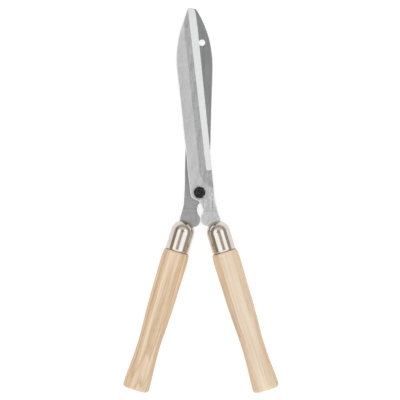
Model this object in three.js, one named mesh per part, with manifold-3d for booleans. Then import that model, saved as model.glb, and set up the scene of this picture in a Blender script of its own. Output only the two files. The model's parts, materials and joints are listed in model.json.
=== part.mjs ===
// Hedge shears: two bevelled steel blades crossed on one pivot bolt, each with
// a cranked shank, a stop lobe and a tang that runs through a domed ferrule
// into an ash handle. Millimetres. The shears lie closed and flat: +Y towards
// the blade tips, +X towards the front half's handle, +Z up along the pivot.
// The shapes are laid out about the pivot axis and the blades' parting plane;
// at the end the whole tool is moved so that the middle of its footprint is the
// origin and the handles' undersides are at z = 0.

import * as THREE from 'three';
import { mergeVertices } from 'three/addons/utils/BufferGeometryUtils.js';
import { ConvexGeometry } from 'three/addons/geometries/ConvexGeometry.js';
import Module from 'manifold-3d';

const wasm = await Module();
wasm.setup();

// ---------------------------------------------------------------- dimensions
const PLATE_T = 3.2; // blade and shank thickness
const BLADE_GAP = 0.3; // between the two blades' flat inner faces
const CRANK_TOP = -19.5; // the shank starts to bend towards the middle plane
const CRANK_END = -26.5; // and is on it from here down
const BLADE_MID = (BLADE_GAP + PLATE_T) / 2; // blade's middle plane from the parting plane

const EDGE_LAND = 0.5; // thickness left at the cutting edge
const GRIND_DROP = 0.4; // how far the face grind falls between its two lines

const PIVOT_R = 4.0; // M8 bolt
const PIVOT_HOLE_R = 4.1;
const NECK_HALF = 4.0; // square neck that keeps the bolt from turning
const NECK_HOLE_HALF = 4.3;
const HEAD_R = 8.8;
const HEAD_H = 4.4;
const THREAD_R = 3.88;

const WASHER_R = 7.4; // split spring washer
const WASHER_IN_R = 4.3;
const WASHER_T = 1.5;
const NUT_FLATS = 13; // M8
const NUT_HEX_H = 5.6;
const NUT_COLLAR_H = 2.0;
const NUT_COLLAR_R = 5.9;
const NUT_BORE_R = 4.18;
const NUT_TURN = THREE.MathUtils.degToRad(-8);
const INSERT_R = 4.95;

const HANG_HOLE = { x: 3.1, y: 189.0, r: 4.0 };

const FERRULE_R = 14.9;
const FERRULE_WALL = 1.0;
const FERRULE_BODY = 26.2; // length of the straight part; a half-round dome closes it
const FERRULE_RIM = 2.6; // length of the rolled-in lower rim

const HANDLE_T = 31; // thickness over the two flats
const HANDLE_L = 180.3; // from shoulder to butt
const SPIGOT_R = 13.5; // turned end that fills the ferrule
const SPIGOT_NECK_R = 12.7; // where the ferrule's rim is rolled in
const SPIGOT_L = 24.6;
const TANG_END = 62;
const GAP = 0.3;

const MID_Z = HANDLE_T / 2;

// One half of the shears: where its handle's axis meets the shoulder, how far
// the axis leans from -Y, and which side of the pivot it is on.
const REAR = { base: [-28.88, -74.94], lean: 16.65, side: -1 };
const FRONT = { base: [31.47, -75.6], lean: 16.95, side: 1 };

// ------------------------------------------------------------------- helpers
function solidOf(geometry) {
  const bare = geometry.clone();
  bare.deleteAttribute('normal');
  bare.deleteAttribute('uv');
  const merged = mergeVertices(bare, 1e-4);
  return new wasm.Manifold(
    new wasm.Mesh({
      numProp: 3,
      vertProperties: new Float32Array(merged.attributes.position.array),
      triVerts: new Uint32Array(merged.index.array),
    })
  );
}

function geometryOf(solid) {
  const mesh = solid.getMesh();
  const geometry = new THREE.BufferGeometry();
  geometry.setAttribute('position', new THREE.BufferAttribute(new Float32Array(mesh.vertProperties), 3));
  geometry.setIndex(new THREE.BufferAttribute(new Uint32Array(mesh.triVerts), 1));
  geometry.computeVertexNormals();
  return geometry;
}

const v2 = ([x, y]) => new THREE.Vector2(x, y);

// A smooth open curve through the points, as count + 1 points.
function smooth(points, count) {
  const curve = new THREE.CatmullRomCurve3(points.map(([x, y]) => new THREE.Vector3(x, y, 0)), false, 'centripetal');
  return curve.getPoints(count).map((p) => [p.x, p.y]);
}

// The point s mm down a half's handle axis and w mm out to the side.
function along(half, s, w) {
  const a = THREE.MathUtils.degToRad(half.lean);
  return [
    half.base[0] + half.side * (Math.sin(a) * s + Math.cos(a) * w),
    half.base[1] - Math.cos(a) * s + Math.sin(a) * w,
  ];
}

function prism(points, z0, z1) {
  const geometry = new THREE.ExtrudeGeometry(new THREE.Shape(points.map(v2)), {
    depth: z1 - z0,
    bevelEnabled: false,
    steps: 1,
  });
  return geometry.translate(0, 0, z0);
}

// Turns a solid made along +Y, about the handle's axis, into its place: +Y
// there points up the axis to the ferrule's dome, and +X is outwards.
function placeOnAxis(geometry, half) {
  const a = THREE.MathUtils.degToRad(half.lean);
  const up = new THREE.Vector3(-half.side * Math.sin(a), Math.cos(a), 0);
  const out = new THREE.Vector3(Math.cos(a), half.side * Math.sin(a), 0);
  const matrix = new THREE.Matrix4().makeBasis(out, up, new THREE.Vector3(0, 0, 1));
  matrix.setPosition(half.base[0], half.base[1], 0);
  return geometry.applyMatrix4(matrix);
}

const hull = (points) => new ConvexGeometry(points.map((p) => new THREE.Vector3(...p)));

// --------------------------------------------------------------------- blades
// Both outlines start where the shank leaves the ferrule on the outer side and
// run up the cutting edge, round the tip, down the spine, round the heel and
// the finger-shaped gap to the stop lobe.
const FRONT_OUTLINE = [
  ...smooth([[26.8, -35.2], [25.3, -30.1], [23.7, -25.1], [22.3, -20.0], [20.85, -15.0], [19.75, -10.0],
    [19.05, -4.9], [18.65, 0.1], [17.75, 10.2], [16.7, 20.3], [15.75, 28.2]], 24),
  ...smooth([[-1.0, 194.5], [-1.8, 202.5], [-2.65, 210.3], [-3.6, 217.5], [-4.45, 223.0], [-5.1, 227.0],
    [-6.2, 229.8], [-8.2, 231.8], [-10.9, 232.6], [-13.4, 232.0], [-15.3, 230.2], [-16.5, 227.2],
    [-18.2, 221.9], [-19.8, 216.8], [-21.5, 211.9], [-23.0, 207.3], [-24.3, 203.5], [-25.9, 196.9],
    [-27.1, 190.5], [-28.3, 182.0], [-29.0, 173.0], [-29.1, 166.0], [-28.8, 158.5], [-28.15, 151.3],
    [-27.0, 141.2]], 64),
  [-24.7, 121.1], [-22.5, 100.9], [-20.35, 80.8], [-18.2, 60.6], [-16.0, 41.1], [-14.3, 21.8],
  ...smooth([[-12.95, 10.2], [-11.95, 1.2], [-11.35, -3.0], [-10.4, -5.4], [-8.7, -7.0], [-4.8, -8.9],
    [-1.6, -10.5], [-0.3, -11.5], [0.45, -13.2], [1.6, -15.0], [3.0, -17.5], [3.9, -20.0], [4.25, -22.3],
    [3.6, -24.9], [2.4, -27.6], [1.75, -29.8], [1.45, -31.8], [1.35, -34.0], [1.5, -36.4], [2.5, -38.7],
    [4.5, -40.6], [7.4, -42.1], [10.6, -43.1]], 56),
];

const REAR_OUTLINE = [
  ...smooth([[-25.1, -35.2], [-24.0, -30.1], [-22.5, -25.1], [-21.0, -20.0], [-19.95, -15.0], [-19.5, -10.0],
    [-19.2, -4.9], [-18.95, 0.1], [-18.55, 10.2], [-18.45, 20.3], [-18.4, 28.2]], 24),
  ...smooth([[-14.2, 194.0], [-13.95, 204.0], [-13.75, 210.0], [-13.35, 217.1], [-12.95, 222.7],
    [-12.4, 226.7], [-11.5, 229.2], [-10.2, 230.7], [-8.3, 231.6], [-6.2, 231.7], [-4.6, 230.9],
    [-3.3, 229.3], [-1.85, 226.9], [0.95, 221.9], [3.4, 216.8], [5.75, 211.8], [7.7, 206.8],
    [9.55, 201.7], [11.15, 196.7], [12.6, 191.6], [14.45, 181.6], [15.75, 171.5], [16.3, 161.4],
    [16.25, 151.3], [15.95, 141.2]], 64),
  [15.35, 121.1], [14.65, 100.9], [14.2, 80.8], [13.7, 60.6], [12.9, 42.2], [12.55, 22.9],
  ...smooth([[12.1, 11.2], [11.8, 2.1], [11.5, -2.1], [10.8, -4.6], [9.2, -6.3], [5.5, -8.5],
    [2.4, -10.3], [1.0, -11.6], [0.0, -13.2], [-1.35, -15.0], [-2.4, -17.5], [-3.05, -20.0], [-3.15, -22.3],
    [-2.6, -25.0], [-1.5, -27.6], [-0.1, -29.8], [0.65, -31.8], [0.95, -34.0], [0.8, -36.4], [-0.2, -38.9],
    [-2.0, -41.1], [-4.6, -42.7], [-7.2, -43.5], [-9.5, -43.9]], 56),
];

// The tang, from the lobe inside the ferrule down one side and up the other.
function tang(half, inner, outer) {
  return [
    [-33.6, inner], [-31.2, inner + 0.7], [-28.6, -6.4], [-26.4, -5.1], [20, -4.1], [TANG_END - 5, -3.1],
    [TANG_END - 1.2, -1.9], [TANG_END, 0], [TANG_END - 1.2, 1.9], [TANG_END - 5, 3.1], [20, 4.1],
    [-26.4, 5.1], [-28.6, 5.9], [-31.5, outer - 0.3], [-35.5, outer],
  ].map(([s, w]) => along(half, s, w));
}

// A bent sheet, seen from the side: zTop above the crank, on z = 0 below it.
function crankedSheet(zTop) {
  const stations = [];
  for (let i = 0; i <= 10; i++) {
    const t = i / 10;
    const y = CRANK_TOP + (CRANK_END - CRANK_TOP) * t;
    stations.push([y, zTop * (1 - (3 - 2 * t) * t * t)]);
  }
  const middle = [[245, zTop], ...stations, [-150, 0]];
  const upper = middle.map(([y, z]) => [y, z + PLATE_T / 2]);
  const lower = middle.map(([y, z]) => [y, z - PLATE_T / 2]).reverse();
  const geometry = prism([...upper, ...lower], -60, 60);
  return geometry.applyMatrix4(
    new THREE.Matrix4().makeBasis(new THREE.Vector3(0, 1, 0), new THREE.Vector3(0, 0, 1), new THREE.Vector3(1, 0, 0))
  );
}

// The lines, seen on the front blade's face, that bound its two ground faces.
// Each is [x at y0, x at y1] on straight lines between y0 and y1.
const lineX = (x0, y0, x1, y1) => (y) => x0 + ((x1 - x0) * (y - y0)) / (y1 - y0);
const edgeLine = lineX(15.75, 28.2, -1.0, 194.5);
const bevelLine = lineX(8.05, 31.9, -13.8, 224.4);
const grindLine = lineX(0.3, 25.1, -20.0, 212.8);
const BEVEL_END = 28.2;
const TOP_Y = 245;

// Two cutters that leave the blade's outer face with a shallow face grind and
// a steep cutting bevel. They are laid out on the front blade; face is +1 for
// the upper side. map moves a point of the front blade onto the blade to cut.
function grindCutters(map) {
  const top = BLADE_MID + PLATE_T / 2;
  const low = BLADE_MID - PLATE_T / 2 + EDGE_LAND;
  const high = top + 3;

  // Bevel: a plane through the bevel line (on the face grind) and the edge.
  const atBevel = top - GRIND_DROP;
  const bevelZ = (x, y) => {
    const t = (x - bevelLine(y)) / (edgeLine(y) - bevelLine(y));
    return atBevel + (low - atBevel) * t;
  };
  const bevel = [];
  for (const y of [BEVEL_END, TOP_Y]) {
    const xIn = bevelLine(y) - (high - atBevel) * 0; // on the bevel line
    const xOut = edgeLine(y) + 6;
    bevel.push([xIn, y, bevelZ(xIn, y)], [xOut, y, bevelZ(xOut, y)]);
    bevel.push([xIn, y, high], [xOut, y, high]);
  }

  // Face grind: falls from the grind line to the bevel line and runs out
  // towards the pivot along a slanting line.
  const grindZ = (x, y) => {
    const t = (x - grindLine(y)) / (bevelLine(y) - grindLine(y));
    return top - GRIND_DROP * t;
  };
  const grind = [];
  for (const y of [26, TOP_Y]) {
    const xIn = grindLine(y);
    const xOut = edgeLine(y) + 12;
    grind.push([xIn, y, top], [xOut, y, grindZ(xOut, y)], [xIn, y, high], [xOut, y, high]);
  }
  grind.push([4.5, 15, top], [24, -6, top], [4.5, 15, high], [24, -6, high]);

  return [bevel, grind].map((points) => solidOf(hull(points.map(map))));
}

function drill(x, y, r, sides) {
  const geometry = new THREE.CylinderGeometry(r, r, 40, sides);
  geometry.rotateX(Math.PI / 2);
  return solidOf(geometry.translate(x, y, 0));
}

function frontBlade() {
  const outline = [...FRONT_OUTLINE, ...tang(FRONT, -10.5, 7.5)];
  let solid = solidOf(prism(outline, -8, 8)).intersect(solidOf(crankedSheet(BLADE_MID)));
  for (const cutter of grindCutters((p) => p)) solid = solid.subtract(cutter);
  return solid.subtract(drill(0, 0, PIVOT_HOLE_R, 48));
}

// The rear blade's ground faces are on its underside: the front blade's,
// mirrored in x and z and turned to the rear blade's own lean.
const REAR_TURN = THREE.MathUtils.degToRad(4.5);
function rearBlade() {
  const outline = [...REAR_OUTLINE, ...tang(REAR, -9.7, 7.8)];
  let solid = solidOf(prism(outline, -8, 8)).intersect(solidOf(crankedSheet(-BLADE_MID)));
  const c = Math.cos(REAR_TURN);
  const s = Math.sin(REAR_TURN);
  for (const cutter of grindCutters(([x, y, z]) => [-x * c - y * s, -x * s + y * c, -z])) {
    solid = solid.subtract(cutter);
  }
  solid = solid.subtract(drill(HANG_HOLE.x, HANG_HOLE.y, HANG_HOLE.r, 40));
  const neck = new THREE.BoxGeometry(2 * NECK_HOLE_HALF, 2 * NECK_HOLE_HALF, 40);
  return solid.subtract(solidOf(neck));
}

// ---------------------------------------------------------------------- pivot
const REAR_FACE = -BLADE_GAP / 2 - PLATE_T; // underside of the rear blade
const FRONT_FACE = BLADE_GAP / 2 + PLATE_T; // upper side of the front blade
const WASHER_Z = FRONT_FACE + GAP;
const NUT_Z = WASHER_Z + WASHER_T + GAP;
const BOLT_TOP = NUT_Z + NUT_HEX_H + NUT_COLLAR_H - 0.2;

function lathe(profile, sides) {
  const geometry = new THREE.LatheGeometry(profile.map(v2), sides);
  return geometry.rotateX(Math.PI / 2); // the profile's y becomes z
}

function pivotBolt() {
  const head = [];
  for (let i = 0; i <= 5; i++) {
    const a = (i / 5) * (Math.PI / 2);
    head.push([HEAD_R * Math.sin(a), REAR_FACE - GAP - 0.9 - (HEAD_H - 0.9) * Math.cos(a)]);
  }
  head[0][0] = 0;
  const top = REAR_FACE - GAP;
  const profile = [
    ...head,
    [HEAD_R, top],
    [PIVOT_R, top],
    [PIVOT_R, NUT_Z - 0.4],
    [THREAD_R, NUT_Z - 0.2],
    [THREAD_R, BOLT_TOP - 0.8],
    [THREAD_R - 0.8, BOLT_TOP],
    [0, BOLT_TOP],
  ];
  const neck = new THREE.BoxGeometry(2 * NECK_HALF, 2 * NECK_HALF, -BLADE_GAP / 2 - GAP - top + 0.5);
  neck.translate(0, 0, (top - 0.5 + -BLADE_GAP / 2 - GAP) / 2);
  return solidOf(lathe(profile, 32)).add(solidOf(neck));
}

function springWasher() {
  const shape = new THREE.Shape();
  const cut = 0.11;
  shape.absarc(0, 0, WASHER_R, cut, 2 * Math.PI - cut, false);
  shape.absarc(0, 0, WASHER_IN_R, 2 * Math.PI - cut - 0.06, cut + 0.06, true);
  const geometry = new THREE.ExtrudeGeometry(shape, { depth: WASHER_T, bevelEnabled: false, curveSegments: 26 });
  return solidOf(geometry.rotateZ(THREE.MathUtils.degToRad(-40)).translate(0, 0, WASHER_Z));
}

function pivotNut() {
  const corner = NUT_FLATS / 2 / Math.cos(Math.PI / 6);
  const hex = [];
  for (let k = 0; k < 6; k++) {
    const a = NUT_TURN + (k * Math.PI) / 3;
    hex.push([corner * Math.cos(a), corner * Math.sin(a)]);
  }
  const z0 = NUT_Z;
  const z1 = NUT_Z + NUT_HEX_H;
  const z2 = z1 + NUT_COLLAR_H;
  const body = solidOf(prism(hex, z0, z2 + 1));
  const envelope = lathe([
    [0, z0], [corner - 0.75, z0], [corner + 0.15, z0 + 0.55], [corner + 0.15, z1 - 0.85],
    [NUT_COLLAR_R + 0.35, z1], [NUT_COLLAR_R, z1 + 0.35], [NUT_COLLAR_R, z2 - 0.7],
    [NUT_COLLAR_R - 0.6, z2], [0, z2],
  ], 36);
  const bore = lathe([
    [0, z0 - 1], [NUT_BORE_R + 0.5, z0 - 1], [NUT_BORE_R + 0.5, z0], [NUT_BORE_R, z0 + 0.6],
    [NUT_BORE_R, z1 - 0.4], [INSERT_R + GAP, z1 - 0.4], [INSERT_R + GAP, z2 + 1], [0, z2 + 1],
  ], 28);
  return body.intersect(solidOf(envelope)).subtract(solidOf(bore));
}

function nutInsert() {
  const z0 = NUT_Z + NUT_HEX_H - 0.4 + GAP;
  const z1 = NUT_Z + NUT_HEX_H + NUT_COLLAR_H - 0.5;
  return solidOf(lathe([
    [NUT_BORE_R, z0], [INSERT_R, z0], [INSERT_R, z1 - 0.25], [INSERT_R - 0.25, z1], [NUT_BORE_R + 0.2, z1],
    [NUT_BORE_R, z1 - 0.2], [NUT_BORE_R, z0],
  ], 28));
}

// -------------------------------------------------------------------- ferrules
// Made along +Y with the shoulder at y = 0 and placed on the handle's axis.
function ferrule(half, inner, outer) {
  const y0 = 0.9;
  const R = FERRULE_R;
  const r = R - FERRULE_WALL;
  const profile = [
    [R - 1.35, y0], [R - 0.75, y0 + 0.5], [R - 0.3, y0 + 1.3], [R - 0.06, y0 + 2.1], [R, y0 + FERRULE_RIM],
  ];
  const arc = 7;
  for (let i = 0; i < arc; i++) {
    const a = ((i / arc) * Math.PI) / 2;
    profile.push([R * Math.cos(a), FERRULE_BODY + R * Math.sin(a)]);
  }
  profile.push([0, FERRULE_BODY + R], [0, FERRULE_BODY + r]);
  for (let i = arc - 1; i >= 0; i--) {
    const a = ((i / arc) * Math.PI) / 2;
    profile.push([r * Math.cos(a), FERRULE_BODY + r * Math.sin(a)]);
  }
  profile.push([r, y0 + FERRULE_RIM + 0.4], [r - 0.3, y0 + 1.6], [R - 1.85, y0 + 0.7], [R - 1.85, y0], [R - 1.35, y0]);
  const shell = solidOf(new THREE.LatheGeometry(profile.map(v2), 36));
  const slot = new THREE.BoxGeometry(outer - inner + 2 * GAP, 20, PLATE_T + 2 * GAP);
  slot.translate((half.side * (outer + inner)) / 2, FERRULE_BODY + 16.2, 0);
  const solid = shell.subtract(solidOf(slot));
  return solidOf(placeOnAxis(geometryOf(solid), half));
}

// --------------------------------------------------------------------- handles
// [distance from the shoulder, half width on the outer side, on the inner side,
// how far the front and back are set in from the flats]
const HANDLE_PROFILE = [
  [-0.6, 15.5, 15.5, 0.45], [0.4, 15.95, 15.95, 0.12], [3, 16.3, 16.3, 0], [9.5, 16.9, 16.85, 0],
  [20, 16.85, 16.8, 0], [45, 16.55, 16.5, 0], [65, 16.4, 16.3, 0], [80, 15.9, 15.8, 0],
  [95, 15.3, 15.2, 0], [108, 14.7, 14.6, 0], [120, 14.35, 14.2, 0], [131, 14.6, 14.3, 0],
  [142, 15.0, 14.75, 0], [153, 15.75, 15.3, 0], [165, 16.65, 16.05, 0], [175.6, 17.2, 16.6, 0],
  [178.2, 16.75, 16.2, 0.45], [179.6, 15.7, 15.2, 1.5], [HANDLE_L, 14.2, 13.7, 3.0],
];
const FLAT_SHARE = 0.42; // part of the width that is flat, top and bottom

// A closed rounded section of unit half thickness, as points [side, w, z],
// with w = 0..1 from the edge of the flat to the side.
function handleSection() {
  const points = [];
  const n = 5;
  const quarter = [];
  for (let i = 0; i <= n; i++) {
    const a = ((i / n) * Math.PI) / 2;
    quarter.push([Math.pow(Math.cos(a), 0.9), Math.pow(Math.sin(a), 0.9)]);
  }
  for (const [w, z] of quarter) points.push([1, w, z]);
  for (const [w, z] of [...quarter].reverse()) points.push([-1, w, z]);
  for (const [w, z] of quarter.slice(1)) points.push([-1, w, -z]);
  for (const [w, z] of [...quarter].reverse().slice(0, -1)) points.push([1, w, -z]);
  return points;
}

function handleBody(half) {
  const section = handleSection();
  const unit = section.map(([side, w, z]) => [side * (FLAT_SHARE + (1 - FLAT_SHARE) * w), z]);
  const steps = HANDLE_PROFILE.length - 1;
  const geometry = new THREE.ExtrudeGeometry(new THREE.Shape(unit.map(v2)), { depth: steps, bevelEnabled: false, steps });
  // each ring of the straight bar is moved to its station and given its width
  const position = geometry.attributes.position;
  for (let i = 0; i < position.count; i++) {
    const [s, outer, inner, inset] = HANDLE_PROFILE[Math.round(position.getZ(i))];
    const u = position.getX(i);
    const t = position.getY(i);
    position.setXYZ(i, u * (u * half.side > 0 ? outer : inner), -s, t * (HANDLE_T / 2 - inset));
  }
  return solidOf(geometry);
}

function handle(half) {
  const body = handleBody(half);
  const spigot = new THREE.LatheGeometry([
    [0, -2], [SPIGOT_NECK_R, -2], [SPIGOT_NECK_R, 3.4], [SPIGOT_R, 4.4], [SPIGOT_R, SPIGOT_L - 1.2],
    [SPIGOT_R - 1.2, SPIGOT_L], [0, SPIGOT_L],
  ].map(v2), 28);
  // mortise for the tang, 0.3 mm larger all round
  const mortise = prism([
    [-5.35, 30], [-5.45, 24], [-4.45, -20], [-3.45, -TANG_END + 5], [-3.0, -TANG_END - 1],
    [3.0, -TANG_END - 1], [3.45, -TANG_END + 5], [4.45, -20], [5.45, 24], [5.35, 30],
  ], -PLATE_T / 2 - GAP, PLATE_T / 2 + GAP);
  const solid = body.add(solidOf(spigot)).subtract(solidOf(mortise));
  return solidOf(placeOnAxis(geometryOf(solid), half));
}

// ------------------------------------------------------------------- materials
const material = (color, roughness, metalness) => new THREE.MeshStandardMaterial({ color, roughness, metalness });
const FRONT_STEEL = material(0xb9b9b9, 0.42, 1.0);
const REAR_STEEL = material(0x929292, 0.45, 1.0);
const NICKEL = material(0xd8d0c8, 0.14, 1.0);
const BLACK_OXIDE = material(0x1c1c1e, 0.45, 0.6);
const NYLON = material(0x3a3a3c, 0.6, 0.0);
const SPRING_STEEL = material(0x6d6d70, 0.4, 1.0);
const ASH = material(0xe6cfaf, 0.6, 0.0);

// -------------------------------------------------------------------- assembly
function mesh(name, solid, look) {
  const part = new THREE.Mesh(geometryOf(solid), look);
  part.name = name;
  return part;
}

const rearHalf = new THREE.Group();
rearHalf.add(
  mesh('rear_blade', rearBlade(), REAR_STEEL),
  mesh('pivot_bolt', pivotBolt(), BLACK_OXIDE),
  mesh('spring_washer', springWasher(), SPRING_STEEL),
  mesh('pivot_nut', pivotNut(), BLACK_OXIDE),
  mesh('nut_insert', nutInsert(), NYLON),
  mesh('rear_ferrule', ferrule(REAR, -11.7, 8.1), NICKEL.clone()),
  mesh('rear_handle', handle(REAR), ASH.clone())
);

const frontHalf = new THREE.Group();
frontHalf.add(
  mesh('front_blade', frontBlade(), FRONT_STEEL),
  mesh('front_ferrule', ferrule(FRONT, -11.3, 7.8), NICKEL.clone()),
  mesh('front_handle', handle(FRONT), ASH.clone())
);

const shears = new THREE.Group();
shears.add(rearHalf, frontHalf);

// The footprint's middle becomes the origin, and the flats stand on z = 0.
shears.updateMatrixWorld(true);
const box = new THREE.Box3().setFromObject(shears);
shears.position.set(-(box.min.x + box.max.x) / 2, -(box.min.y + box.max.y) / 2, MID_Z);

export default shears;
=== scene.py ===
import json
import math

import bmesh
import bpy
import numpy as np
from mathutils import Matrix, Vector
from mathutils.geometry import delaunay_2d_cdt


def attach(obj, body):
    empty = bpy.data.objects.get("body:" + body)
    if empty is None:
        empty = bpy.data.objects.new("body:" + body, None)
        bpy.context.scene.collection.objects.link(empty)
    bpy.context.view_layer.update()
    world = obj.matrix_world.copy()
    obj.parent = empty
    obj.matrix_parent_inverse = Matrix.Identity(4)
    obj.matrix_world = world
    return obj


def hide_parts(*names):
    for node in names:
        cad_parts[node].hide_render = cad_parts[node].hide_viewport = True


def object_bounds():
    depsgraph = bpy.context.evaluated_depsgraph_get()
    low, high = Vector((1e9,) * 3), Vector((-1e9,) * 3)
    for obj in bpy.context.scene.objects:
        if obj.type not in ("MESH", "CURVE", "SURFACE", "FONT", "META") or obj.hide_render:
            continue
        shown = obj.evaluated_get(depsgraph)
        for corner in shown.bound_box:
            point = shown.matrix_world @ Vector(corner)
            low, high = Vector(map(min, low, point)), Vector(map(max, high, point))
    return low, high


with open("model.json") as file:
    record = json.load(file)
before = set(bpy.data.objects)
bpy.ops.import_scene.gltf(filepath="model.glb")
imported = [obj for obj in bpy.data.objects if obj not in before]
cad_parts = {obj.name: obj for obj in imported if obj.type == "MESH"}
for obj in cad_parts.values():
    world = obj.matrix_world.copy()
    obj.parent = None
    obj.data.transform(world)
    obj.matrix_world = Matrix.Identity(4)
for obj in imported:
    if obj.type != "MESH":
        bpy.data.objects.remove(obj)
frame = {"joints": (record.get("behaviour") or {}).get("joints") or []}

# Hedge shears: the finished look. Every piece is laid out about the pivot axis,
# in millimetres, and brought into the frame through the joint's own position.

cad_lo, cad_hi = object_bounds()
MM = 0.001
PIVOT = Vector(frame["joints"][0]["pos_m"])

# ------------------------------------------------------------------ dimensions
PLATE_T = 3.2
INNER_Z = 0.15            # flat inner face, from the parting plane
OUTER_Z = INNER_Z + PLATE_T
MID = (INNER_Z + OUTER_Z) / 2
CRANK_TOP, CRANK_END = -19.5, -26.5
EDGE_LAND = 0.42
GRIND_DROP = 0.4
BEVEL_END = 28.2
STEP_W = 0.12

FERRULE_R, FERRULE_WALL, FERRULE_BODY = 14.9, 1.0, 26.2
RIM_Y, RIM_H, RIM_IN = 0.9, 2.6, 1.35
HANDLE_T, HANDLE_L = 31.0, 180.3

REAR = {"base": (-28.88, -74.94), "lean": 16.65, "side": -1, "slot": (-11.7, 8.1)}
FRONT = {"base": (31.47, -75.6), "lean": 16.95, "side": 1, "slot": (-11.3, 7.8)}


# -------------------------------------------------------------- small helpers
def catmull(points, per):
    """Centripetal Catmull-Rom curve through the points."""
    P = [np.array(p, float) for p in points]
    P = [2 * P[0] - P[1]] + P + [2 * P[-1] - P[-2]]
    out = []
    for i in range(1, len(P) - 2):
        p0, p1, p2, p3 = P[i - 1 : i + 3]
        a = max(np.linalg.norm(p1 - p0) ** 0.5, 1e-4)
        b = max(np.linalg.norm(p2 - p1) ** 0.5, 1e-4)
        c = max(np.linalg.norm(p3 - p2) ** 0.5, 1e-4)
        m1 = ((p1 - p0) / a - (p2 - p0) / (a + b) + (p2 - p1) / b) * b
        m2 = ((p2 - p1) / b - (p3 - p1) / (b + c) + (p3 - p2) / c) * b
        for k in range(per):
            t = k / per
            h = (2 * t**3 - 3 * t**2 + 1, t**3 - 2 * t**2 + t, -2 * t**3 + 3 * t**2, t**3 - t**2)
            out.append(h[0] * p1 + h[1] * m1 + h[2] * p2 + h[3] * m2)
    out.append(P[-2])
    return out


def along(half, s, w):
    a = math.radians(half["lean"])
    bx, by = half["base"]
    return (
        bx + half["side"] * (math.sin(a) * s + math.cos(a) * w),
        by - math.cos(a) * s + math.sin(a) * w,
    )


def axis_matrix(half):
    """Local frame of a handle: +Y up its axis to the ferrule, +X to the right, +Z up."""
    a = math.radians(half["lean"])
    out = (math.cos(a), half["side"] * math.sin(a), 0)
    up = (-half["side"] * math.sin(a), math.cos(a), 0)
    m = Matrix((out, up, (0, 0, 1))).transposed().to_4x4()
    m.translation = PIVOT + Vector((*half["base"], 0)) * MM
    return m


def new_object(name, mesh, matrix, materials):
    for m in materials:
        mesh.materials.append(m)
    obj = bpy.data.objects.new(name, mesh)
    bpy.context.scene.collection.objects.link(obj)
    obj.matrix_world = matrix
    return obj


def pivot_matrix():
    return Matrix.Translation(PIVOT)


def mesh_from(name, verts, faces, zones=None, sharp_deg=None, smooth=True):
    """verts in millimetres. zones gives each face's material."""
    me = bpy.data.meshes.new(name)
    me.from_pydata([tuple(c * MM for c in v) for v in verts], [], [list(f) for f in faces])
    if zones is not None:
        me.polygons.foreach_set("material_index", np.array(zones, np.int32))
    me.polygons.foreach_set("use_smooth", [smooth] * len(me.polygons))
    me.update()
    me.validate()
    bm = bmesh.new()
    bm.from_mesh(me)
    bmesh.ops.recalc_face_normals(bm, faces=bm.faces)
    bm.to_mesh(me)
    bm.free()
    if sharp_deg is not None:
        me.set_sharp_from_angle(angle=math.radians(sharp_deg))
    return me


def weighted(obj):
    mod = obj.modifiers.new("weighted_normals", "WEIGHTED_NORMAL")
    mod.mode = "FACE_AREA"
    mod.weight = 100
    mod.keep_sharp = True
    return obj


def lathe_mesh(name, profile, sides, closed=False, sharp_deg=35, zones=None):
    """Revolves (r, z) round the z axis. r = 0 ends become single points."""
    verts, rings, faces, fz = [], [], [], []
    for r, z in profile:
        if r < 1e-6:
            rings.append([len(verts)])
            verts.append((0, 0, z))
        else:
            rings.append(list(range(len(verts), len(verts) + sides)))
            for k in range(sides):
                a = 2 * math.pi * k / sides
                verts.append((r * math.cos(a), r * math.sin(a), z))
    pairs = list(zip(range(len(rings) - 1), range(1, len(rings))))
    if closed:
        pairs.append((len(rings) - 1, 0))
    for n, (i, j) in enumerate(pairs):
        A, B = rings[i], rings[j]
        for k in range(sides):
            l = (k + 1) % sides
            if len(A) == 1 and len(B) == 1:
                continue
            if len(A) == 1:
                f = (A[0], B[l], B[k])
            elif len(B) == 1:
                f = (A[k], A[l], B[0])
            else:
                f = (A[k], A[l], B[l], B[k])
            faces.append(f)
            fz.append(zones[n] if zones else 0)
    return mesh_from(name, verts, faces, fz, sharp_deg)


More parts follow.
